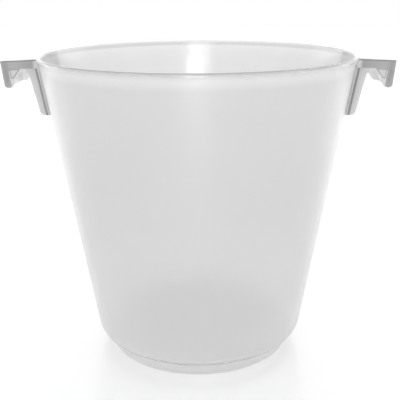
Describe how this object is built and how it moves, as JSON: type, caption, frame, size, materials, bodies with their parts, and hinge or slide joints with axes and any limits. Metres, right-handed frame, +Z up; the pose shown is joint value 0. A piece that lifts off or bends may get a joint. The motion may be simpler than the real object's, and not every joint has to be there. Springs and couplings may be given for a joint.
{
  "type": "wine bucket",
  "caption": "Tapered frosted plastic wine bucket with fixed lug handles bonded to its wall and a separate foot ring under its floor.",
  "frame": {"origin": "on the ground, under the centre of the bucket", "axes": "+Z up along the bucket's axis, the handles reach out along +X and -X, -Y faces the viewer"},
  "size_m": [0.2664, 0.22, 0.214],
  "materials": {
    "bucket_shell": "frosted translucent, clear-white",
    "foot_ring": "frosted translucent, clear-white",
    "handle_left": "frosted translucent, clear-white",
    "handle_right": "frosted translucent, clear-white"
  },
  "bodies": {
    "root": {"bucket_shell": "bucket_shell", "foot_ring": "foot_ring", "handle_left": "handle_left", "handle_right": "handle_right"}
  },
  "joints": []
}
